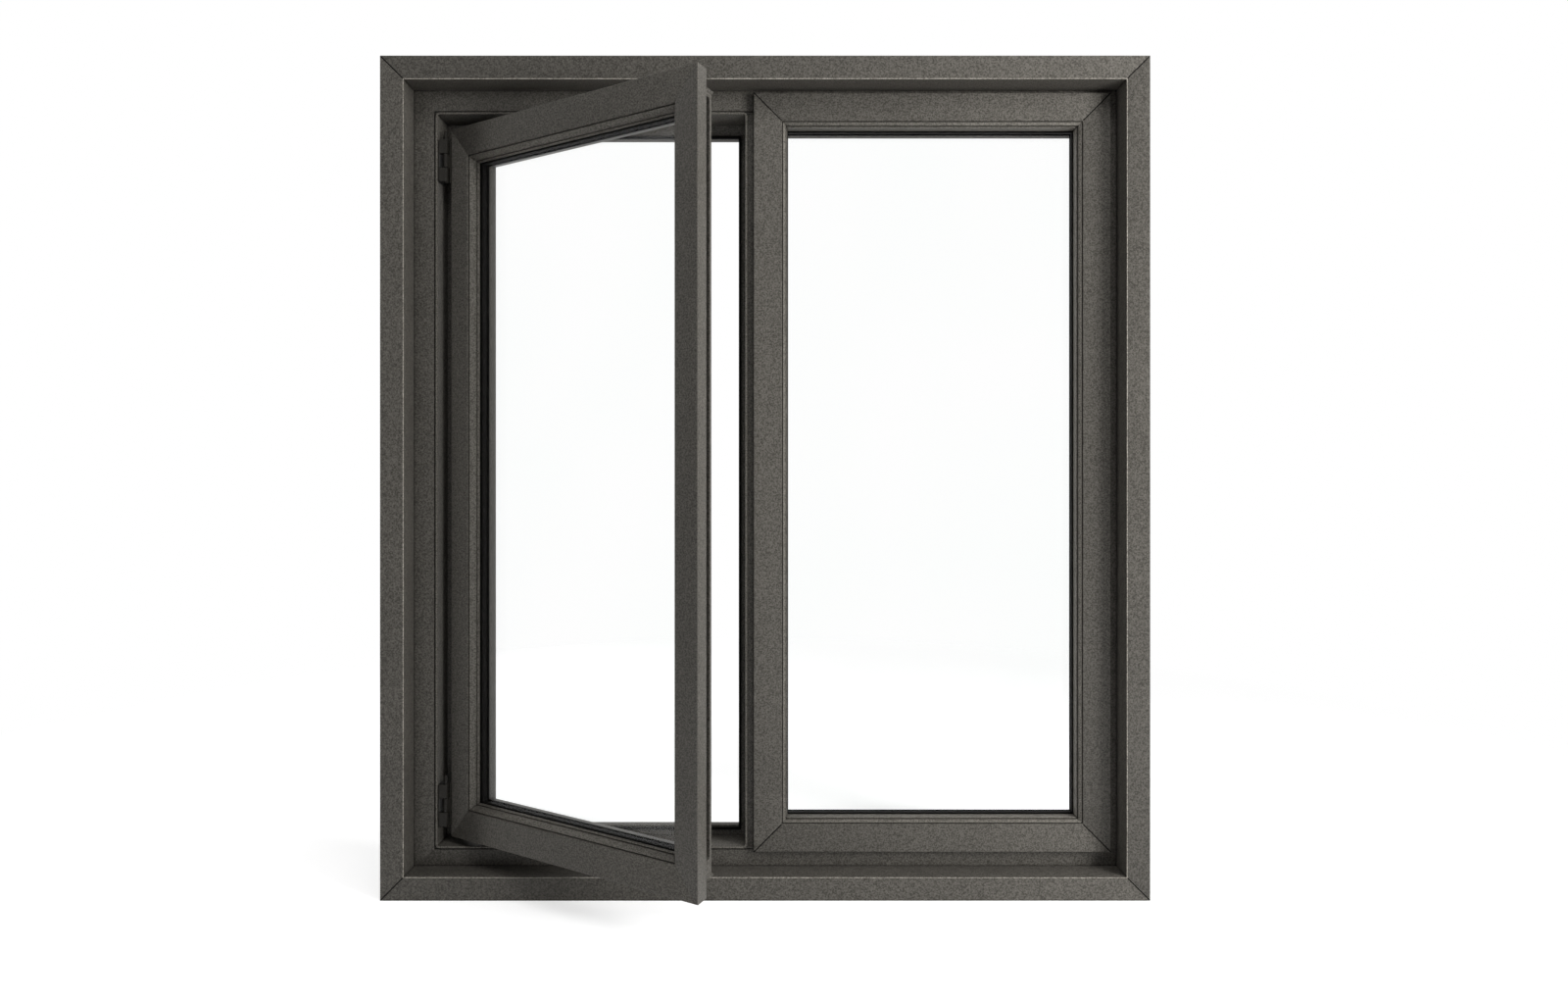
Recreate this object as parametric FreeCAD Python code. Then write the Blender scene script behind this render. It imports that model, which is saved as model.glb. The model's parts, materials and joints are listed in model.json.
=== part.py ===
import FreeCAD, Part
import math
import os

# A two-light window in mitred profiles. The left light is a side-hung sash that stands open
# towards the room, and the right light is a fixed sash that overlaps the frame.
# Millimetres. X runs to the right, Y away from the room and Z up. The origin is in the middle
# of the frame's underside. A depth is counted from the surround's front face, away from the room.

# Whole frame
frame_width = 1240.0
frame_height = 1360.0
frame_depth = 118.0

# Surround, the outermost member
surround_face = 38.0
surround_arris = 2.0
shadow_groove_width = 2.0
shadow_groove_depth = 3.0

# Frame band inside the surround, with a closing step behind its lip
reveal_depth = 42.0
band_width = 39.0
sill_band_width = 32.0
lip_round = 1.5
step_thickness = 12.0
step_width = 18.0
head_step_width = 24.0
mullion_step_width = 12.0
mullion_left = -33.0
mullion_width = 36.0

# Lip bead and closing seal round the left opening
lip_bead_width = 3.5
lip_bead_height = 1.8
lip_bead_corner = 4.0
lip_groove_width = 2.0
lip_groove_depth = 4.0
seal_width = 4.0
seal_clearance = 1.0

# Opening sash, as it lies when it is closed
sash_recess = 14.0
sash_hinge_gap = 14.0
sash_lock_gap = 8.0
sash_bottom_gap = 11.0
sash_top_gap = 20.0
sash_thickness = 62.0
sash_flange = 24.0
sash_inset = 15.0
sash_stile_face = 38.5
sash_rail_face = 49.0
sash_glass_recess = 19.5
sash_bead_width = 10.0
sash_bead_top = 2.0
sash_bead_fall = 9.0
lock_groove_back_gap = 6.0
lock_groove_width = 11.0
lock_groove_depth = 9.0
lock_groove_bottom_gap = 40.0
lock_groove_top_gap = 25.0
lock_groove_round = 4.5
open_angle = 28.0

# Fixed sash
fixed_proud = 10.0
fixed_left = -19.0
fixed_side_gap = 12.0
fixed_top_gap = 7.0
fixed_bottom_gap = 26.0
fixed_inset = 33.0
fixed_face = 47.0
fixed_glass_recess = 22.0
fixed_bead_width = 8.4
fixed_bead_top = 1.0
fixed_bead_fall = 2.0
fixed_leg_thickness = 11.5

# Glazing of both sashes
pane_thickness = 4.0
pane_cavity = 10.0
glass_edge_gap = 1.0
spacer_cover = 1.0
glazing_seal_gap = 1.5
glazing_seal_lap = 3.5
glazing_seal_show = 2.0
outer_leg_setback = 1.0
outer_leg_slope = 8.0
bead_groove_width = 1.2
bead_groove_depth = 2.5
bead_ridge_share = 0.7
bead_valley_width = 1.0
bead_valley_drop = 4.0
bead_inner_drop = 2.5
bead_inner_fall = 1.0
bead_round = 0.4
face_round = 1.6
edge_round = 1.0

# Hinges of the opening sash
hinge_height = 70.0
hinge_end_offset = 20.0
hinge_axis_side = 3.0
hinge_axis_front = 8.0
knuckle_radius = 4.0
hinge_pin_radius = 1.6
hinge_pin_clearance = 0.05
hinge_cap_radius = 2.4
hinge_cap_height = 14.0
hinge_foot_height = 1.5
knuckle_gap = 0.8
frame_leaf_thickness = 1.4
frame_leaf_depth = 34.0
sash_leaf_thickness = 1.8
sash_leaf_front_gap = 2.0

# Locking rail in the lock stile's edge
lock_rail_thickness = 2.4
lock_rail_end_gap = 60.0
lock_rail_side_gap = 0.5
roller_radius = 4.0
roller_height = 2.6
roller_count = 3

# Levels and edges that several pieces share
frame_left = -frame_width / 2
frame_right = frame_width / 2
band_left = frame_left + surround_face
band_right = frame_right - surround_face
band_bottom = surround_face
band_top = frame_height - surround_face
lip_left = band_left + band_width
lip_right = band_right - band_width
lip_bottom = band_bottom + sill_band_width
lip_top = band_top - band_width
lip_groove_start = band_width - lip_bead_width - lip_groove_width
mullion_right = mullion_left + mullion_width
sash_front = reveal_depth + sash_recess
fixed_front = reveal_depth - fixed_proud
glass_thickness = 2 * pane_thickness + pane_cavity
fixed_leg_front = fixed_front + fixed_glass_recess + glass_thickness + glazing_seal_gap
step_depth = fixed_leg_front + fixed_leg_thickness
step_back = step_depth + step_thickness
sash_left = lip_left + sash_hinge_gap
sash_right = mullion_left - sash_lock_gap
sash_bottom = lip_bottom + sash_bottom_gap
sash_top = lip_top - sash_top_gap
hinge_x = sash_left - hinge_axis_side
hinge_depth = sash_front - hinge_axis_front
lock_groove_floor = sash_right - sash_inset - lock_groove_depth
lock_groove_back = sash_front + sash_thickness - lock_groove_back_gap
lock_groove_front = lock_groove_back - lock_groove_width
lock_groove_bottom = sash_bottom + lock_groove_bottom_gap
lock_groove_top = sash_top - lock_groove_top_gap


def at_depth(depth):
    """Y of a depth behind the surround's front face."""
    return depth - frame_depth / 2


def outline(points, place):
    """Closed wire through (u, v) points, where a third value rounds that corner."""
    corners = []
    count = len(points)
    for index, point in enumerate(points):
        here = FreeCAD.Vector(point[0], point[1], 0)
        radius = point[2] if len(point) > 2 else 0
        if radius <= 0:
            corners.append([here])
            continue
        before = points[index - 1]
        after = points[(index + 1) % count]
        back = (FreeCAD.Vector(before[0], before[1], 0) - here).normalize()
        ahead = (FreeCAD.Vector(after[0], after[1], 0) - here).normalize()
        half = back.getAngle(ahead) / 2
        middle = (back + ahead).normalize()
        centre = here + middle * (radius / math.sin(half))
        reach = radius / math.tan(half)
        corners.append([here + back * reach, centre - middle * radius, here + ahead * reach])
    edges = []
    for index, corner in enumerate(corners):
        placed = [place(p.x, p.y) for p in corner]
        if len(placed) == 3:
            edges.append(Part.Arc(*placed).toShape())
        following = corners[(index + 1) % count][0]
        edges.append(Part.makeLine(placed[-1], place(following.x, following.y)))
    return Part.Wire(edges)


def prism(points, place, along):
    """Solid swept straight from an outline."""
    return Part.Face(outline(points, place)).extrude(along)


def block(x0, x1, depth0, depth1, z0, z1):
    """Box between two corners, with its Y given as depths."""
    corner = FreeCAD.Vector(x0, at_depth(depth0), z0)
    return Part.makeBox(x1 - x0, depth1 - depth0, z1 - z0, corner)


def rectangle_plate(x0, x1, z0, z1, depth0, depth1, corner_radius=0.0):
    """Upright plate with square or rounded corners."""
    points = [(x0, z0, corner_radius), (x1, z0, corner_radius),
              (x1, z1, corner_radius), (x0, z1, corner_radius)]
    y = at_depth(depth0)
    return prism(points, lambda u, v: FreeCAD.Vector(u, y, v), FreeCAD.Vector(0, depth1 - depth0, 0))


def ring(x0, x1, z0, z1, width, depth0, depth1, inner_radius=0.0):
    """Four-sided ring whose outer edge is given and whose bars are width wide."""
    outer_radius = inner_radius + width if inner_radius > 0 else 0.0
    outer = rectangle_plate(x0, x1, z0, z1, depth0, depth1, outer_radius)
    inner = rectangle_plate(x0 + width, x1 - width, z0 + width, z1 - width,
                            depth0, depth1, inner_radius)
    return outer.cut(inner)


def mitred_members(section, x0, x1, z0, z1, knee=0.0, extra=None):
    """Head, sill, left and right members of one profile, mitred at the corners.

    The section is a list of (inward, depth) points with an optional corner radius. A side
    named in extra is wider by that much, which its section gets from the knee inwards.
    """
    extra = extra or {}
    reach = max(point[0] for point in section)
    front = at_depth(min(point[1] for point in section))
    back = at_depth(max(point[1] for point in section))

    def widened(side):
        more = extra.get(side, 0.0)
        return [(p[0] + (more if p[0] >= knee else 0.0), *p[1:]) for p in section]

    def joint(upright, level):
        aside, across = extra.get(upright, 0.0), extra.get(level, 0.0)
        steps = [(0.0, 0.0), (knee + aside, knee + across), (reach + aside, reach + across)]
        if aside == across:
            del steps[1]
        x, way_x = (x0, 1) if upright == "left" else (x1, -1)
        z, way_z = (z0, 1) if level == "sill" else (z1, -1)
        return [(x + way_x * u, z + way_z * v) for u, v in steps]

    wedges = {
        "sill": joint("left", "sill") + joint("right", "sill")[::-1],
        "head": joint("left", "head") + joint("right", "head")[::-1],
        "left": joint("left", "sill") + joint("left", "head")[::-1],
        "right": joint("right", "sill") + joint("right", "head")[::-1],
    }
    across = FreeCAD.Vector(x1 - x0, 0, 0)
    upward = FreeCAD.Vector(0, 0, z1 - z0)
    places = {
        "sill": (lambda w, d: FreeCAD.Vector(x0, at_depth(d), z0 + w), across),
        "head": (lambda w, d: FreeCAD.Vector(x0, at_depth(d), z1 - w), across),
        "left": (lambda w, d: FreeCAD.Vector(x0 + w, at_depth(d), z0), upward),
        "right": (lambda w, d: FreeCAD.Vector(x1 - w, at_depth(d), z0), upward),
    }
    through = FreeCAD.Vector(0, back - front, 0)
    members = {}
    for side, (place, along) in places.items():
        bar = prism(widened(side), place, along)
        wedge = prism(wedges[side], lambda u, v: FreeCAD.Vector(u, front, v), through)
        members[side] = bar.common(wedge)
    return members


def surround_section():
    """Outer member: plain face, reveal and a shadow groove where it meets the band."""
    groove_front = reveal_depth - shadow_groove_width
    groove_floor = surround_face - shadow_groove_depth
    return [
        (0, 0, edge_round),
        (surround_face, 0, surround_arris),
        (surround_face, groove_front),
        (groove_floor, groove_front),
        (groove_floor, reveal_depth),
        (surround_face, reveal_depth),
        (surround_face, frame_depth),
        (0, frame_depth),
    ]


def frame_section():
    """Inner member: band with a groove beside its lip, and the step the sash closes against."""
    groove_end = lip_groove_start + lip_groove_width
    return [
        (0, reveal_depth),
        (lip_groove_start, reveal_depth),
        (lip_groove_start, reveal_depth + lip_groove_depth),
        (groove_end, reveal_depth + lip_groove_depth),
        (groove_end, reveal_depth),
        (band_width, reveal_depth, lip_round),
        (band_width, step_depth),
        (band_width + step_width, step_depth, edge_round),
        (band_width + step_width, step_back, edge_round),
        (band_width, step_back),
        (band_width, frame_depth, edge_round),
        (0, frame_depth),
    ]


def make_mullion():
    """Upright between head and sill, with a closing step on both of its sides."""
    section = [
        (mullion_left, reveal_depth, lip_round),
        (mullion_right, reveal_depth, lip_round),
        (mullion_right, frame_depth, edge_round),
        (mullion_left, frame_depth, edge_round),
    ]
    height = FreeCAD.Vector(0, 0, lip_top - lip_bottom)
    bar = prism(section, lambda x, d: FreeCAD.Vector(x, at_depth(d), lip_bottom), height)
    for low, high in ((lip_bottom, lip_bottom + step_width), (lip_top - step_width, lip_top)):
        bar = bar.cut(block(mullion_left, mullion_right, step_depth, step_back, low, high))
    step_bottom = lip_bottom + step_width
    step_height = FreeCAD.Vector(0, 0, lip_top - step_width - step_bottom)

    def at_step_bottom(x, d):
        return FreeCAD.Vector(x, at_depth(d), step_bottom)

    for edge, reach in ((mullion_left, -mullion_step_width), (mullion_right, mullion_step_width)):
        step = [
            (edge, step_depth),
            (edge + reach, step_depth, edge_round),
            (edge + reach, step_back, edge_round),
            (edge, step_back),
        ]
        bar = bar.fuse(prism(step, at_step_bottom, step_height))
    return bar.removeSplitter()


def make_head_step():
    """Deeper part of the head's closing step, over the opening sash."""
    return block(lip_left + step_width, mullion_left - mullion_step_width,
                 step_depth, step_back, lip_top - head_step_width, lip_top - step_width)


def sash_section(sash):
    """Sash member: face and flange, glazing rebate, sloped outer leg and set-back edge."""
    front = sash["front"]
    back = front + sash["thickness"]
    flange_back = front + sash["flange"]
    leg_front = front + sash["recess"] + glass_thickness + glazing_seal_gap
    leg_edge = sash["face"] + sash["bead_width"] - outer_leg_setback
    return [
        (0, front, face_round),
        (sash["face"], front, face_round),
        (sash["face"], leg_front),
        (leg_edge, leg_front),
        (leg_edge - outer_leg_slope, back, edge_round),
        (sash["inset"], back, edge_round),
        (sash["inset"], flange_back),
        (0, flange_back, edge_round),
    ]


def bead_section(sash):
    """Glazing bead with a shadow line, a sloped ridge, a valley and a lower inner ridge."""
    width = sash["bead_width"]
    top = sash["front"] + sash["bead_top"]
    seat = sash["front"] + sash["recess"] - glazing_seal_gap
    ridge_end = width * bead_ridge_share
    ridge_foot = top + sash["bead_fall"]
    valley_end = ridge_end + bead_valley_width
    inner_top = ridge_foot + bead_inner_drop
    return [
        (0, top + bead_groove_depth),
        (bead_groove_width, top + bead_groove_depth),
        (bead_groove_width, top, bead_round),
        (ridge_end, ridge_foot, bead_round),
        (ridge_end, ridge_foot + bead_valley_drop),
        (valley_end, ridge_foot + bead_valley_drop),
        (valley_end, inner_top, bead_round),
        (width, inner_top + bead_inner_fall, bead_round),
        (width, seat),
        (0, seat),
    ]


def make_sash(prefix, sash, names):
    """Members, beads, panes, spacer and seals of one sash, as a dictionary of nodes."""
    x0, x1, z0, z1 = sash["x0"], sash["x1"], sash["z0"], sash["z1"]
    face = sash["face"]
    rail_face = sash["rail_face"]
    nodes = {}
    wider = {"head": rail_face - face, "sill": rail_face - face}
    members = mitred_members(sash_section(sash), x0, x1, z0, z1, face, wider)
    for side, member in members.items():
        nodes[prefix + names[side]] = member

    def inner_box(beyond_face):
        return (x0 + face + beyond_face, x1 - face - beyond_face,
                z0 + rail_face + beyond_face, z1 - rail_face - beyond_face)

    for side, bead in mitred_members(bead_section(sash), *inner_box(0)).items():
        nodes[prefix + "glazing_bead_" + side] = bead
    bead_width = sash["bead_width"]
    glass_front = sash["front"] + sash["recess"]
    glass_back = glass_front + glass_thickness
    cavity_front = glass_front + pane_thickness
    cavity_back = glass_back - pane_thickness
    glass_box = inner_box(glass_edge_gap)
    nodes[prefix + "room_side_pane"] = rectangle_plate(*glass_box, glass_front, cavity_front)
    nodes[prefix + "outer_pane"] = rectangle_plate(*glass_box, cavity_back, glass_back)
    nodes[prefix + "glass_spacer"] = ring(*glass_box, bead_width - glass_edge_gap - spacer_cover,
                                          cavity_front, cavity_back)
    seal_box = inner_box(bead_width - glazing_seal_lap)
    room_seal = ring(*seal_box, glazing_seal_lap + glazing_seal_show,
                     glass_front - glazing_seal_gap, glass_front)
    outer_seal = ring(*seal_box, glazing_seal_lap - outer_leg_setback,
                      glass_back, glass_back + glazing_seal_gap)
    nodes[prefix + "glazing_seals"] = Part.makeCompound([room_seal, outer_seal])
    return nodes


def make_hinge(prefix, bottom):
    """Frame leaf, pin and sash leaf of one hinge, with the sash closed."""
    axis = FreeCAD.Vector(hinge_x, at_depth(hinge_depth), bottom)
    upward = FreeCAD.Vector(0, 0, 1)
    third = hinge_height / 3
    top = bottom + hinge_height
    hole = Part.makeCylinder(hinge_pin_radius + hinge_pin_clearance, hinge_height, axis, upward)

    plate_face = lip_left + frame_leaf_thickness
    plate_front = hinge_depth - knuckle_radius - sash_leaf_front_gap
    frame_leaf = block(lip_left, plate_face, plate_front, plate_front + frame_leaf_depth, bottom, top)
    for low in (bottom, top - third):
        foot = FreeCAD.Vector(axis.x, axis.y, low)
        knuckle = Part.makeCylinder(knuckle_radius, third, foot, upward)
        web = block(plate_face, hinge_x, hinge_depth - knuckle_radius,
                    hinge_depth + knuckle_radius, low, low + third)
        frame_leaf = frame_leaf.fuse([knuckle, web])
    frame_leaf = frame_leaf.cut(hole).removeSplitter()

    low = bottom + third + knuckle_gap
    length = third - 2 * knuckle_gap
    foot = FreeCAD.Vector(axis.x, axis.y, low)
    knuckle = Part.makeCylinder(knuckle_radius, length, foot, upward)
    plate_front = sash_front - sash_leaf_front_gap
    plate = block(sash_left - sash_leaf_thickness, sash_left, plate_front,
                  sash_front + sash_flange, bottom, top)
    tongue = block(sash_left - sash_leaf_thickness, sash_left, hinge_depth, plate_front,
                   low, low + length)
    sash_leaf = plate.fuse([tongue, knuckle]).cut(hole).removeSplitter()

    pin = Part.makeCylinder(hinge_pin_radius, hinge_height, axis, upward)
    for low, height in ((bottom - hinge_foot_height, hinge_foot_height), (top, hinge_cap_height)):
        foot = FreeCAD.Vector(axis.x, axis.y, low)
        pin = pin.fuse(Part.makeCylinder(hinge_cap_radius, height, foot, upward))
    return {
        prefix + "_hinge_frame_leaf": frame_leaf,
        prefix + "_hinge_pin": pin.removeSplitter(),
        prefix + "_hinge_sash_leaf": sash_leaf,
    }


def make_lock_groove():
    """Room for the locking rail, a slot with rounded ends in the lock stile's edge."""
    corners = [
        (lock_groove_front, lock_groove_bottom, lock_groove_round),
        (lock_groove_back, lock_groove_bottom, lock_groove_round),
        (lock_groove_back, lock_groove_top, lock_groove_round),
        (lock_groove_front, lock_groove_top, lock_groove_round),
    ]
    return prism(corners, lambda d, z: FreeCAD.Vector(lock_groove_floor, at_depth(d), z),
                 FreeCAD.Vector(lock_groove_depth, 0, 0))


def make_lock_rail():
    """Face plate on the floor of the lock stile's groove, with locking rollers."""
    floor = lock_groove_floor
    bottom = lock_groove_bottom + lock_rail_end_gap
    top = lock_groove_top - lock_rail_end_gap
    rail = block(floor, floor + lock_rail_thickness, lock_groove_front + lock_rail_side_gap,
                 lock_groove_back - lock_rail_side_gap, bottom, top)
    middle = at_depth((lock_groove_front + lock_groove_back) / 2)
    spacing = (top - bottom) / roller_count
    for index in range(roller_count):
        centre = FreeCAD.Vector(floor, middle, bottom + spacing * (index + 0.5))
        reach = lock_rail_thickness + roller_height
        rail = rail.fuse(Part.makeCylinder(roller_radius, reach, centre, FreeCAD.Vector(1, 0, 0)))
    return rail.removeSplitter()


def make_fixed_parts():
    """Everything that stays with the wall."""
    nodes = {}
    surround = mitred_members(surround_section(), frame_left, frame_right, 0, frame_height)
    frame = mitred_members(frame_section(), band_left, band_right, band_bottom, band_top,
                           lip_groove_start, {"sill": sill_band_width - band_width})
    for prefix, members in (("surround", surround), ("frame", frame)):
        nodes[prefix + "_head"] = members["head"]
        nodes[prefix + "_sill"] = members["sill"]
        nodes[prefix + "_left_jamb"] = members["left"]
        nodes[prefix + "_right_jamb"] = members["right"]
    nodes["frame_head"] = nodes["frame_head"].fuse(make_head_step()).removeSplitter()
    nodes["mullion"] = make_mullion()
    nodes["left_lip_bead"] = ring(lip_left - lip_bead_width, mullion_left + lip_bead_width,
                                  lip_bottom - lip_bead_width, lip_top + lip_bead_width,
                                  lip_bead_width, reveal_depth - lip_bead_height, reveal_depth,
                                  lip_bead_corner)
    nodes["left_rebate_seal"] = ring(sash_left, sash_right, sash_bottom, sash_top, seal_width,
                                     sash_front + sash_flange + seal_clearance, step_depth)
    fixed_sash = {
        "x0": fixed_left,
        "x1": band_right - fixed_side_gap,
        "z0": band_bottom + fixed_bottom_gap,
        "z1": band_top - fixed_top_gap,
        "front": fixed_front,
        "thickness": step_depth - fixed_front,
        "flange": fixed_proud,
        "inset": fixed_inset,
        "face": fixed_face,
        "rail_face": fixed_face,
        "recess": fixed_glass_recess,
        "bead_width": fixed_bead_width,
        "bead_top": fixed_bead_top,
        "bead_fall": fixed_bead_fall,
    }
    names = {"head": "top_rail", "sill": "bottom_rail", "left": "mullion_stile",
             "right": "jamb_stile"}
    sash = make_sash("right_", fixed_sash, names)
    foot = block(fixed_sash["x0"] + fixed_inset, fixed_sash["x1"] - fixed_inset,
                 reveal_depth, step_depth, lip_bottom, fixed_sash["z0"] + fixed_inset)
    sash["right_bottom_rail"] = sash["right_bottom_rail"].fuse(foot).removeSplitter()
    nodes.update(sash)
    return nodes


def make_moving_parts():
    """The opening sash with its locking rail, still closed."""
    opening_sash = {
        "x0": sash_left,
        "x1": sash_right,
        "z0": sash_bottom,
        "z1": sash_top,
        "front": sash_front,
        "thickness": sash_thickness,
        "flange": sash_flange,
        "inset": sash_inset,
        "face": sash_stile_face,
        "rail_face": sash_rail_face,
        "recess": sash_glass_recess,
        "bead_width": sash_bead_width,
        "bead_top": sash_bead_top,
        "bead_fall": sash_bead_fall,
    }
    names = {"head": "top_rail", "sill": "bottom_rail", "left": "hinge_stile",
             "right": "lock_stile"}
    nodes = make_sash("left_", opening_sash, names)
    nodes["left_lock_stile"] = nodes["left_lock_stile"].cut(make_lock_groove())
    nodes["left_locking_rail"] = make_lock_rail()
    return nodes


def opened(shape):
    """The shape turned about the hinge axis, from closed to the opening angle."""
    turned = shape.copy()
    axis = FreeCAD.Vector(hinge_x, at_depth(hinge_depth), 0)
    turned.rotate(axis, FreeCAD.Vector(0, 0, 1), -open_angle)
    return turned


def make_window():
    """All nodes of the window, with the left sash open."""
    fixed = make_fixed_parts()
    moving = make_moving_parts()
    hinge_bottoms = {
        "lower": sash_bottom + hinge_end_offset,
        "upper": sash_top - hinge_end_offset - hinge_height,
    }
    for prefix, bottom in hinge_bottoms.items():
        for name, shape in make_hinge(prefix, bottom).items():
            side = moving if name.endswith("sash_leaf") else fixed
            side[name] = shape
    nodes = dict(fixed)
    for name, shape in moving.items():
        nodes[name] = opened(shape)
    return nodes


os.makedirs("parts", exist_ok=True)
for node, shape in make_window().items():
    shape.exportStep("parts/" + node + ".step")
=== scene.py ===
import json
import math

import bmesh
import bpy
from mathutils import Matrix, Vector


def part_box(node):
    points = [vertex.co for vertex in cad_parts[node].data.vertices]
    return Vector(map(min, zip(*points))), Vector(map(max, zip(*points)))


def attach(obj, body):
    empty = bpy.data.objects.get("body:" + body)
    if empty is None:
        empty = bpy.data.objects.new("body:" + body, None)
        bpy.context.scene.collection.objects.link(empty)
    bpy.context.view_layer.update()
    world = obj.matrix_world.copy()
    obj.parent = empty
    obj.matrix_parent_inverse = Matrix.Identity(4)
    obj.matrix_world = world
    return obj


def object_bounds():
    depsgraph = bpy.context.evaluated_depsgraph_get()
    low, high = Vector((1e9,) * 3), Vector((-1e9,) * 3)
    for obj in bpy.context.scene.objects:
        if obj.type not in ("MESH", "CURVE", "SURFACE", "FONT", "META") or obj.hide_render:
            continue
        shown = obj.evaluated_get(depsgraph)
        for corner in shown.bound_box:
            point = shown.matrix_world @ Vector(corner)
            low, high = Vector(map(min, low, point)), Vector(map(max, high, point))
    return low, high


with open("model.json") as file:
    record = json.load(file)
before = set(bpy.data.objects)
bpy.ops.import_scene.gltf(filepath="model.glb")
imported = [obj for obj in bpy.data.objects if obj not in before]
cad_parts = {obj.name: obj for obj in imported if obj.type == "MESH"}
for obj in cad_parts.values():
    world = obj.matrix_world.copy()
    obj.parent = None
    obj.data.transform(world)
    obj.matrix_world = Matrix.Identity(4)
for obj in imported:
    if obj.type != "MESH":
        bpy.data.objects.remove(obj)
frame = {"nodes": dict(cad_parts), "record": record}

cad_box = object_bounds()

# Camera, worked out from the perspective of the photo's 1600 by 1020 frame
PHOTO_WIDTH = 1600.0
PHOTO_HEIGHT = 1020.0
FOCAL_PIXELS = 860.0
VANISHING_X = 781.0
VANISHING_Y = 489.0
CAMERA_X = 0.0004
CAMERA_Z = 0.678
CAMERA_TO_FRONT = 1.356
SENSOR_WIDTH = 36.0

# Soft boxes aimed at the window's middle: place, width and height in metres, and watts
MIDDLE = (0.0, 0.0, 0.68)
SOFT_BOXES = {
    "key": ((1.9, -1.2, 1.1), 0.7, 1.5, 73.0),
    "fill": ((-3.0, -0.45, 0.9), 0.5, 1.8, 28.0),
    "top": ((0.5, -1.3, 3.0), 1.6, 1.0, 28.0),
    "rear": ((-1.8, 2.2, 1.4), 1.2, 1.5, 40.0),
}
WORLD_LIGHT = 0.06

# Floor: two tones, a glow that shows but doesn't light, and where the fade to white runs
WHITE = (1.0, 1.0, 1.0, 1.0)
FLOOR_HALF = 30.0
FLOOR_DARKER = (0.72, 0.72, 0.72, 1.0)
FLOOR_PALER = (0.80, 0.80, 0.80, 1.0)
FLOOR_CLOUD_PER_M = 2.0
FLOOR_ROUGHNESS = 0.9
FLOOR_GLOW = 0.55
FADE_START = 1.0
FADE_END = 2.2

# Powder coat: two tones in linear colour, grain, clouds, gloss and bump
COAT_LIGHT = (0.113, 0.106, 0.0935)
COAT_DARK = (0.0375, 0.0345, 0.0295)
COAT_GRAIN_PER_M = 432.0
COAT_GRAIN_DETAIL = 3.0
COAT_GRAIN_ROUGHNESS = 0.65
COAT_GRAIN_SPAN = (0.37, 0.63)
COAT_CLOUD_PER_M = 7.0
COAT_CLOUD_SHADE = (0.92, 0.92, 0.92, 1.0)
COAT_SPECULAR = 0.2
COAT_ROUGHNESS = (0.40, 0.56)
COAT_BUMP = 0.45
COAT_BUMP_DEPTH = 0.0005

# Painted shade in the coat's colour, darker in creases and between parts, where another face
# stands within reach
PAINTED_SHADE_REACH = 0.004
PAINTED_CREASE_SHADE = (0.16, 0.155, 0.14, 1.0)
PAINTED_SHADE_SPAN = (0.35, 0.85)
PAINTED_SHADE_SAMPLES = 4

# Plain finishes by material slot, each a fine mottle between two tones
FINISHES = {
    "glass_spacer": dict(low=(0.004, 0.004, 0.0035, 1.0), high=(0.009, 0.0085, 0.008, 1.0),
                         per_metre=400.0, roughness=0.62, specular=0.08),
    "rubber_seal": dict(low=(0.002, 0.002, 0.002, 1.0), high=(0.005, 0.005, 0.0045, 1.0),
                        per_metre=700.0, roughness=0.66, specular=0.05, bump=0.25),
    "hinge_metal": dict(low=(0.010, 0.0095, 0.008, 1.0), high=(0.022, 0.020, 0.017, 1.0),
                        per_metre=600.0, roughness=0.45, specular=0.15),
    "locking_rail": dict(low=(0.24, 0.24, 0.23, 1.0), high=(0.34, 0.34, 0.33, 1.0),
                         per_metre=500.0, roughness=0.34, metallic=1.0),
}
MOTTLE_DETAIL = 3.0
MOTTLE_BUMP_DEPTH = 0.0002
MOTTLE_ROUGHNESS_SPREAD = 0.06

# Reflection of a pane seen square on, what a slanted view adds to it, and the pane's tint
GLASS_REFLECTION_FRONT = 0.012
GLASS_REFLECTION_EDGE = 0.30
GLASS_REFLECTION_POWER = 4.0
GLASS_SLANT_BLEND = 0.5
GLASS_ROUGHNESS = 0.02
GLASS_TINT = (0.995, 0.999, 0.997, 1.0)
GLASS_TINT_PER_M = 3.0

# Softened edges, which Blender makes narrower where a mesh has short edges
BEVEL_WIDTH = 0.0009
BEVEL_SEGMENTS = 3
BEVEL_ANGLE = math.radians(35)
WELD_DISTANCE = 0.00001

# Painted highlight: a lighter copy of the coat on the glazing beads and the lip bead, and a
# painted highlight line along an arris
PAINTED_BEAD_HIGHLIGHT_TONE = 1.45
# Lighter coat of the painted highlight line along an arris, and the line's size and place
PAINTED_ARRIS_HIGHLIGHT_TONE = 4.0
ARRIS_RADIUS = 0.0010
ARRIS_INSET = 0.00095
ARRIS_ROUNDING = 2

# Dark sheet in the mitres, painted shade of a hairline gap: width, how far it stands proud, how
# far inside the CAD box it ends
MITRED_MEMBERS = ("surround_head", "surround_sill", "right_top_rail", "right_bottom_rail")
JOINT_WIDTH = 0.0016
JOINT_SWELL = 0.00012
JOINT_MARGIN = 0.0016

# A mitre face's normal has at least this much x and z, and at most this much y
JOINT_SLANT = 0.3
JOINT_LEAN = 0.001
JOINT_FLAT_ANGLE = math.radians(1)

# Colour sockets of a Mix node, which share their names with its other sockets
MIX_FIRST = 6
MIX_SECOND = 7
MIX_RESULT = 2


def node_tree(name):
    """New material, its emptied node tree and its output node."""
    material = bpy.data.materials.new(name)
    material.use_nodes = True
    tree = material.node_tree
    tree.nodes.clear()
    output = tree.nodes.new("ShaderNodeOutputMaterial")
    return material, tree, output


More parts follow.
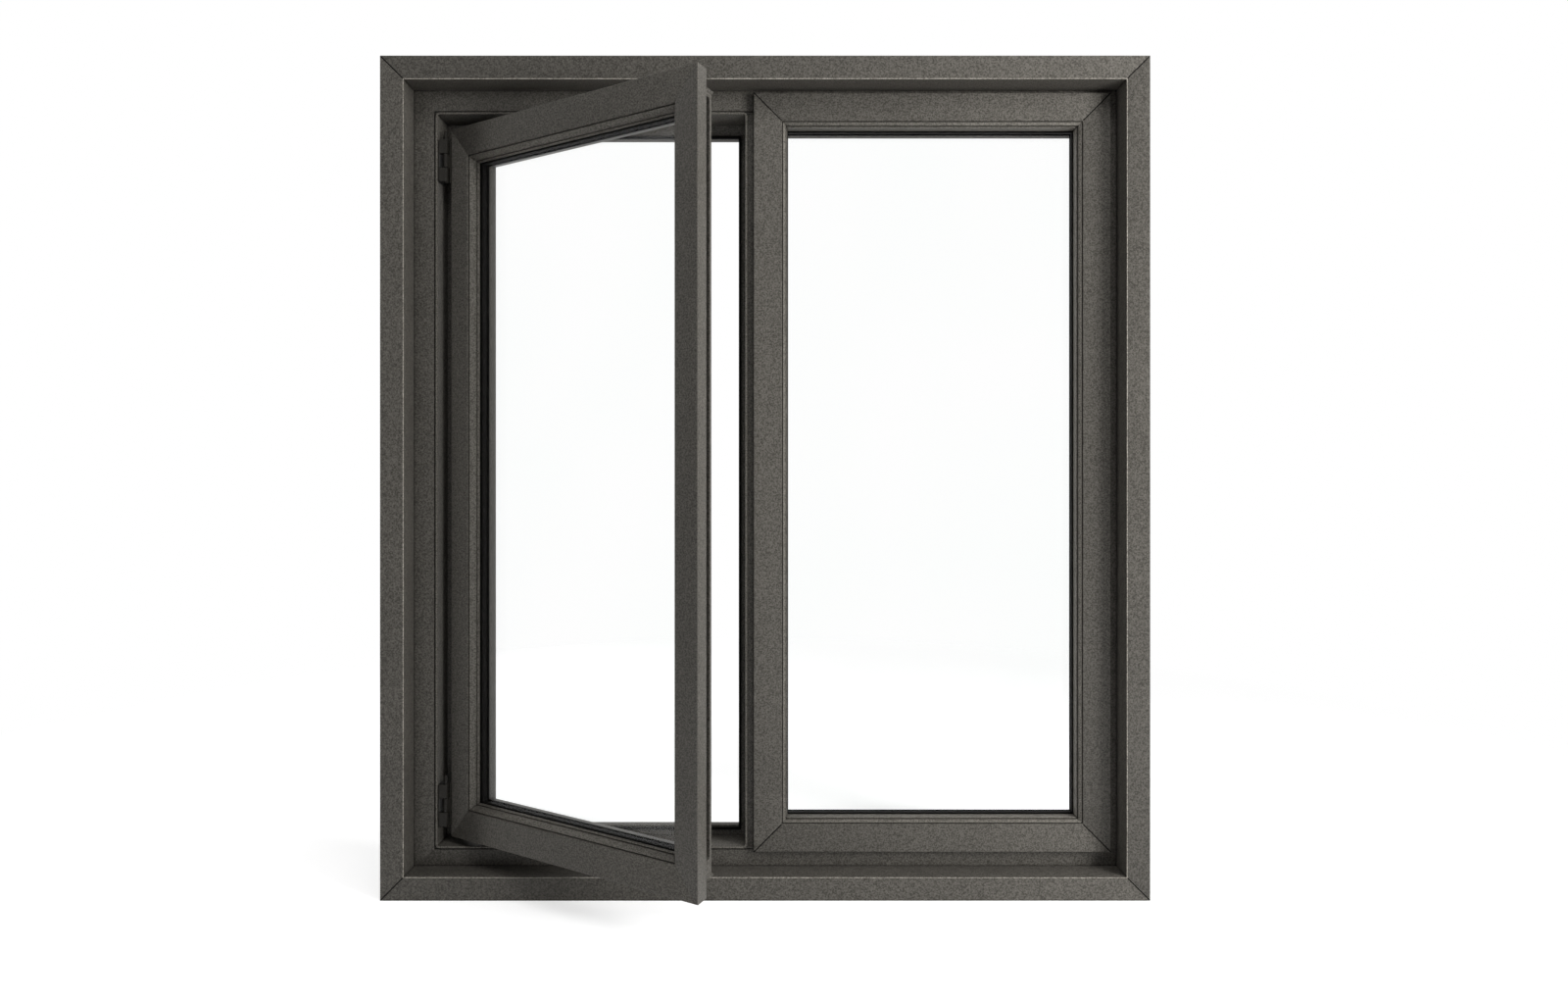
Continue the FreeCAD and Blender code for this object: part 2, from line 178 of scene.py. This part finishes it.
def add(tree, kind, **values):
    """Node of that kind with the named input sockets or properties set."""
    node = tree.nodes.new(kind)
    for key, value in values.items():
        if key in node.inputs:
            node.inputs[key].default_value = value
        else:
            setattr(node, key, value)
    return node


def object_noise(tree, per_metre, detail=2.0, roughness=0.5):
    """Noise over the piece's own coordinates, in metres, as a value output."""
    where = add(tree, "ShaderNodeTexCoord")
    noise = add(tree, "ShaderNodeTexNoise", Scale=per_metre, Detail=detail, Roughness=roughness)
    tree.links.new(where.outputs["Object"], noise.inputs["Vector"])
    return noise.outputs["Fac"]


def colour_ramp(tree, source, low, high, start=0.3, end=0.7):
    """Colour output that runs from low to high as the source runs from start to end."""
    ramp = add(tree, "ShaderNodeValToRGB")
    ramp.color_ramp.elements[0].position = start
    ramp.color_ramp.elements[0].color = low
    ramp.color_ramp.elements[1].position = end
    ramp.color_ramp.elements[1].color = high
    tree.links.new(source, ramp.inputs["Fac"])
    return ramp.outputs["Color"]


def multiply(tree, first, second):
    """Product of two colour outputs."""
    mix = add(tree, "ShaderNodeMix", data_type="RGBA", blend_type="MULTIPLY")
    mix.inputs["Factor"].default_value = 1.0
    tree.links.new(first, mix.inputs[MIX_FIRST])
    tree.links.new(second, mix.inputs[MIX_SECOND])
    return mix.outputs[MIX_RESULT]


def mix_shaders(tree, share, first, second):
    """The first shader where the share is zero, the second where it is one."""
    mix = add(tree, "ShaderNodeMixShader")
    tree.links.new(share, mix.inputs["Fac"])
    tree.links.new(first, mix.inputs[1])
    tree.links.new(second, mix.inputs[2])
    return mix.outputs["Shader"]


def textured_surface(tree, output, colour, texture, roughness, bump, depth, specular,
                     metallic=0.0):
    """Surface of that colour, whose gloss and bump follow the texture."""
    rough = add(tree, "ShaderNodeMapRange")
    rough.inputs["To Min"].default_value = roughness[0]
    rough.inputs["To Max"].default_value = roughness[1]
    tree.links.new(texture, rough.inputs["Value"])
    relief = add(tree, "ShaderNodeBump", Strength=bump, Distance=depth)
    tree.links.new(texture, relief.inputs["Height"])
    shader = add(tree, "ShaderNodeBsdfPrincipled", Metallic=metallic)
    shader.inputs["Specular IOR Level"].default_value = specular
    tree.links.new(colour, shader.inputs["Base Color"])
    tree.links.new(rough.outputs["Result"], shader.inputs["Roughness"])
    tree.links.new(relief.outputs["Normal"], shader.inputs["Normal"])
    tree.links.new(shader.outputs["BSDF"], output.inputs["Surface"])


def painted_crease_shade(tree):
    """Painted shade: white on open faces, darker where another face stands close."""
    nearness = add(tree, "ShaderNodeAmbientOcclusion", Distance=PAINTED_SHADE_REACH,
                   samples=PAINTED_SHADE_SAMPLES)
    return colour_ramp(tree, nearness.outputs["AO"], PAINTED_CREASE_SHADE, WHITE, *PAINTED_SHADE_SPAN)


def powder_coat(name, tone_up=1.0):
    """Fine textured dark bronze powder coat: grain in colour, gloss and bump over soft clouds, and
    painted shade in creases.
    """
    material, tree, output = node_tree(name)
    dark = [value * tone_up for value in COAT_DARK] + [1.0]
    light = [value * tone_up for value in COAT_LIGHT] + [1.0]
    grain = object_noise(tree, COAT_GRAIN_PER_M, COAT_GRAIN_DETAIL, COAT_GRAIN_ROUGHNESS)
    tone = colour_ramp(tree, grain, dark, light, *COAT_GRAIN_SPAN)
    clouds = colour_ramp(tree, object_noise(tree, COAT_CLOUD_PER_M), COAT_CLOUD_SHADE, WHITE)
    # Painted shade: the colour darkens in creases and between parts
    colour = multiply(tree, multiply(tree, tone, clouds), painted_crease_shade(tree))
    textured_surface(tree, output, colour, grain, COAT_ROUGHNESS, COAT_BUMP, COAT_BUMP_DEPTH,
                     COAT_SPECULAR)
    return material


def plain_material(name, low, high, per_metre, roughness, metallic=0.0, specular=0.5,
                   bump=0.15):
    """Procedural finish with a fine mottle between two tones."""
    material, tree, output = node_tree(name)
    mottle = object_noise(tree, per_metre, MOTTLE_DETAIL)
    colour = colour_ramp(tree, mottle, low, high)
    spread = (roughness - MOTTLE_ROUGHNESS_SPREAD, roughness + MOTTLE_ROUGHNESS_SPREAD)
    textured_surface(tree, output, colour, mottle, spread, bump, MOTTLE_BUMP_DEPTH, specular,
                     metallic)
    return material


def clear_glass():
    """Clear pane: light passes almost unchanged, with a weak reflection that grows at a slant."""
    material, tree, output = node_tree("clear_glass")
    through = add(tree, "ShaderNodeBsdfTransparent")
    tint = colour_ramp(tree, object_noise(tree, GLASS_TINT_PER_M), GLASS_TINT, WHITE)
    tree.links.new(tint, through.inputs["Color"])
    gloss = add(tree, "ShaderNodeBsdfGlossy", Roughness=GLASS_ROUGHNESS)
    slant = add(tree, "ShaderNodeLayerWeight", Blend=GLASS_SLANT_BLEND)
    curve = add(tree, "ShaderNodeMath", operation="POWER")
    curve.inputs[1].default_value = GLASS_REFLECTION_POWER
    amount = add(tree, "ShaderNodeMath", operation="MULTIPLY_ADD")
    amount.inputs[1].default_value = GLASS_REFLECTION_EDGE
    amount.inputs[2].default_value = GLASS_REFLECTION_FRONT
    tree.links.new(slant.outputs["Facing"], curve.inputs[0])
    tree.links.new(curve.outputs["Value"], amount.inputs[0])
    pane = mix_shaders(tree, amount.outputs["Value"], through.outputs["BSDF"],
                       gloss.outputs["BSDF"])
    tree.links.new(pane, output.inputs["Surface"])
    return material


def soften_edges(piece):
    """Welded and finely bevelled edges, so that mitres and arrises catch the light."""
    weld = piece.modifiers.new("weld", "WELD")
    weld.merge_threshold = WELD_DISTANCE
    bevel = piece.modifiers.new("soft_edges", "BEVEL")
    bevel.width = BEVEL_WIDTH
    bevel.segments = BEVEL_SEGMENTS
    bevel.limit_method = "ANGLE"
    bevel.angle_limit = BEVEL_ANGLE
    bevel.harden_normals = True
    piece.data.polygons.foreach_set("use_smooth", [True] * len(piece.data.polygons))


def finish_nodes():
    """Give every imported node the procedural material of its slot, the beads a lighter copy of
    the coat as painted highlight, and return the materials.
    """
    made = {"powder_coat": powder_coat("powder_coat"), "glass": clear_glass()}
    for slot, finish in FINISHES.items():
        made[slot] = plain_material(slot, **finish)
    # Lighter copy of the coat for the beads, a painted highlight
    bead_coat_painted_highlight = powder_coat("powder_coat_beads_painted_highlight", PAINTED_BEAD_HIGHLIGHT_TONE)
    slots = {part["node"]: part["material_slot"] for part in frame["record"]["subparts"]}
    for name, piece in frame["nodes"].items():
        piece.data.materials.clear()
        piece.data.materials.append(bead_coat_painted_highlight if "bead" in name else made[slots[name]])
        if slots[name] != "glass":
            soften_edges(piece)
    return made


def mitre_faces(member):
    """Both slanted end faces of a member, moved a little forward and trimmed to the CAD box."""
    ends = bmesh.new()
    ends.from_mesh(frame["nodes"][member].data)
    ends.transform(frame["nodes"][member].matrix_world)
    bmesh.ops.remove_doubles(ends, verts=ends.verts, dist=WELD_DISTANCE)
    others = []
    for face in ends.faces:
        normal = face.normal
        if min(abs(normal.x), abs(normal.z)) < JOINT_SLANT or abs(normal.y) > JOINT_LEAN:
            others.append(face)
    bmesh.ops.delete(ends, geom=others, context="FACES")
    bmesh.ops.dissolve_limit(ends, angle_limit=JOINT_FLAT_ANGLE, verts=ends.verts,
                             edges=ends.edges)
    bmesh.ops.translate(ends, verts=ends.verts, vec=(0.0, -JOINT_SWELL, 0.0))
    for corner, way in zip(cad_box, (-1, 1)):
        for axis in range(3):
            outward = Vector()
            outward[axis] = way
            place = Vector(corner) - outward * JOINT_MARGIN
            bmesh.ops.bisect_plane(ends, geom=ends.verts[:] + ends.edges[:] + ends.faces[:],
                                   plane_co=place, plane_no=outward, clear_outer=True)
    return ends


def painted_mitre_shade(name, members, body, material):
    """Dark line in the mitres at both ends of the members, a little proud at the front, painted
    shade of a hairline gap.
    """
    joints = bmesh.new()
    for member in members:
        ends = mitre_faces(member)
        sheet = bpy.data.meshes.new(name)
        ends.to_mesh(sheet)
        ends.free()
        joints.from_mesh(sheet)
        bpy.data.meshes.remove(sheet)
    mesh = bpy.data.meshes.new(name)
    joints.to_mesh(mesh)
    joints.free()
    piece = bpy.data.objects.new(name, mesh)
    bpy.context.scene.collection.objects.link(piece)
    solid = piece.modifiers.new("width", "SOLIDIFY")
    solid.thickness = JOINT_WIDTH
    solid.offset = 0.0
    mesh.materials.append(material)
    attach(piece, body)


def painted_arris_highlight_line(name, low, high, y, body, material):
    """Painted highlight line along the four arrises of a rectangle that faces the room."""
    line = bpy.data.curves.new(name, "CURVE")
    line.dimensions = "3D"
    line.bevel_depth = ARRIS_RADIUS
    line.bevel_resolution = ARRIS_ROUNDING
    corners = (low, (high[0], low[1]), high, (low[0], high[1]))
    path = line.splines.new("POLY")
    path.points.add(len(corners) - 1)
    for point, (x, z) in zip(path.points, corners):
        point.co = (x, y, z, 1.0)
    path.use_cyclic_u = True
    line.materials.append(material)
    piece = bpy.data.objects.new(name, line)
    bpy.context.scene.collection.objects.link(piece)
    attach(piece, body)


def make_surround_arris():
    """Painted highlight line on the inner arris of the surround."""
    left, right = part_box("surround_left_jamb"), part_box("surround_right_jamb")
    head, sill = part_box("surround_head"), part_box("surround_sill")
    low = (left[1].x - ARRIS_INSET, sill[1].z - ARRIS_INSET)
    high = (right[0].x + ARRIS_INSET, head[0].z + ARRIS_INSET)
    painted_arris_highlight_line("surround_arris_painted_highlight", low, high, sill[0].y + ARRIS_INSET, "frame",
               powder_coat("powder_coat_arris_painted_highlight", PAINTED_ARRIS_HIGHLIGHT_TONE))


def seen_ray(tree):
    """One for rays from the camera, from gloss and through glass, else zero."""
    path = add(tree, "ShaderNodeLightPath")
    direct = add(tree, "ShaderNodeMath", operation="MAXIMUM")
    tree.links.new(path.outputs["Is Camera Ray"], direct.inputs[0])
    tree.links.new(path.outputs["Is Transmission Ray"], direct.inputs[1])
    seen = add(tree, "ShaderNodeMath", operation="MAXIMUM")
    tree.links.new(direct.outputs["Value"], seen.inputs[0])
    tree.links.new(path.outputs["Is Glossy Ray"], seen.inputs[1])
    return seen.outputs["Value"]


def make_stage():
    """Pale floor with the window's soft shadow, that turns into the white background."""
    bpy.ops.mesh.primitive_plane_add(size=2 * FLOOR_HALF, location=(0, 0, 0))
    floor = bpy.context.object
    floor.name = "floor"
    material, tree, output = node_tree("floor")
    shader = add(tree, "ShaderNodeBsdfPrincipled", Roughness=FLOOR_ROUGHNESS)
    clouds = object_noise(tree, FLOOR_CLOUD_PER_M)
    tone = colour_ramp(tree, clouds, FLOOR_DARKER, FLOOR_PALER)
    tree.links.new(tone, shader.inputs["Base Color"])
    glow = add(tree, "ShaderNodeEmission", Strength=FLOOR_GLOW)
    near = add(tree, "ShaderNodeAddShader")
    tree.links.new(shader.outputs["BSDF"], near.inputs[0])
    tree.links.new(glow.outputs["Emission"], near.inputs[1])
    far = add(tree, "ShaderNodeEmission", Color=WHITE, Strength=1.0)
    where = add(tree, "ShaderNodeTexCoord")
    distance = add(tree, "ShaderNodeVectorMath", operation="LENGTH")
    tree.links.new(where.outputs["Object"], distance.inputs[0])
    fade = add(tree, "ShaderNodeMapRange")
    fade.inputs["From Min"].default_value = FADE_START
    fade.inputs["From Max"].default_value = FADE_END
    tree.links.new(distance.outputs["Value"], fade.inputs["Value"])
    seen = mix_shaders(tree, fade.outputs["Result"], near.outputs["Shader"],
                       far.outputs["Emission"])
    either = mix_shaders(tree, seen_ray(tree), shader.outputs["BSDF"], seen)
    tree.links.new(either, output.inputs["Surface"])
    floor.data.materials.append(material)


def make_world():
    """Even studio light, seen as white by the camera, in reflections and through glass."""
    world = bpy.data.worlds.new("studio")
    bpy.context.scene.world = world
    world.use_nodes = True
    tree = world.node_tree
    tree.nodes.clear()
    output = tree.nodes.new("ShaderNodeOutputWorld")
    soft = add(tree, "ShaderNodeBackground", Color=WHITE, Strength=WORLD_LIGHT)
    white = add(tree, "ShaderNodeBackground", Color=WHITE, Strength=1.0)
    either = mix_shaders(tree, seen_ray(tree), soft.outputs["Background"],
                         white.outputs["Background"])
    tree.links.new(either, output.inputs["Surface"])


def area_light(name, place, width, height, watts):
    """Soft box aimed at the middle, which leaves no bright patch of its own in the panes."""
    light = bpy.data.lights.new(name, "AREA")
    light.shape = "RECTANGLE"
    light.size = width
    light.size_y = height
    light.energy = watts
    lamp = bpy.data.objects.new(name, light)
    bpy.context.scene.collection.objects.link(lamp)
    lamp.location = place
    lamp.rotation_euler = (Vector(MIDDLE) - Vector(place)).to_track_quat("-Z", "Y").to_euler()
    lamp.visible_glossy = False


def make_lights():
    """Key from the right front, fill from the left, a weak lift from above and one from behind."""
    for name, (place, width, height, watts) in SOFT_BOXES.items():
        area_light(name, place, width, height, watts)


def make_camera():
    """Camera square to the window, shifted so that its vanishing point is the photo's."""
    camera = bpy.data.objects.new("camera", bpy.data.cameras.new("camera"))
    bpy.context.scene.collection.objects.link(camera)
    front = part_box("surround_sill")[0].y
    camera.location = (CAMERA_X, front - CAMERA_TO_FRONT, CAMERA_Z)
    camera.rotation_euler = (math.radians(90), 0, 0)
    camera.data.sensor_width = SENSOR_WIDTH
    camera.data.lens = SENSOR_WIDTH * FOCAL_PIXELS / PHOTO_WIDTH
    camera.data.shift_x = (PHOTO_WIDTH / 2 - VANISHING_X) / PHOTO_WIDTH
    camera.data.shift_y = (VANISHING_Y - PHOTO_HEIGHT / 2) / PHOTO_WIDTH
    bpy.context.scene.camera = camera


made = finish_nodes()
# Dark sheets in the mitres of the surround and the fixed sash, painted shade of hairline gaps
painted_mitre_shade("frame_mitre_joints", MITRED_MEMBERS, "frame", made["rubber_seal"])
# Painted highlight line along the surround's inner arris
make_surround_arris()
make_stage()
make_world()
make_lights()
make_camera()
bpy.context.scene.view_settings.view_transform = "Standard"
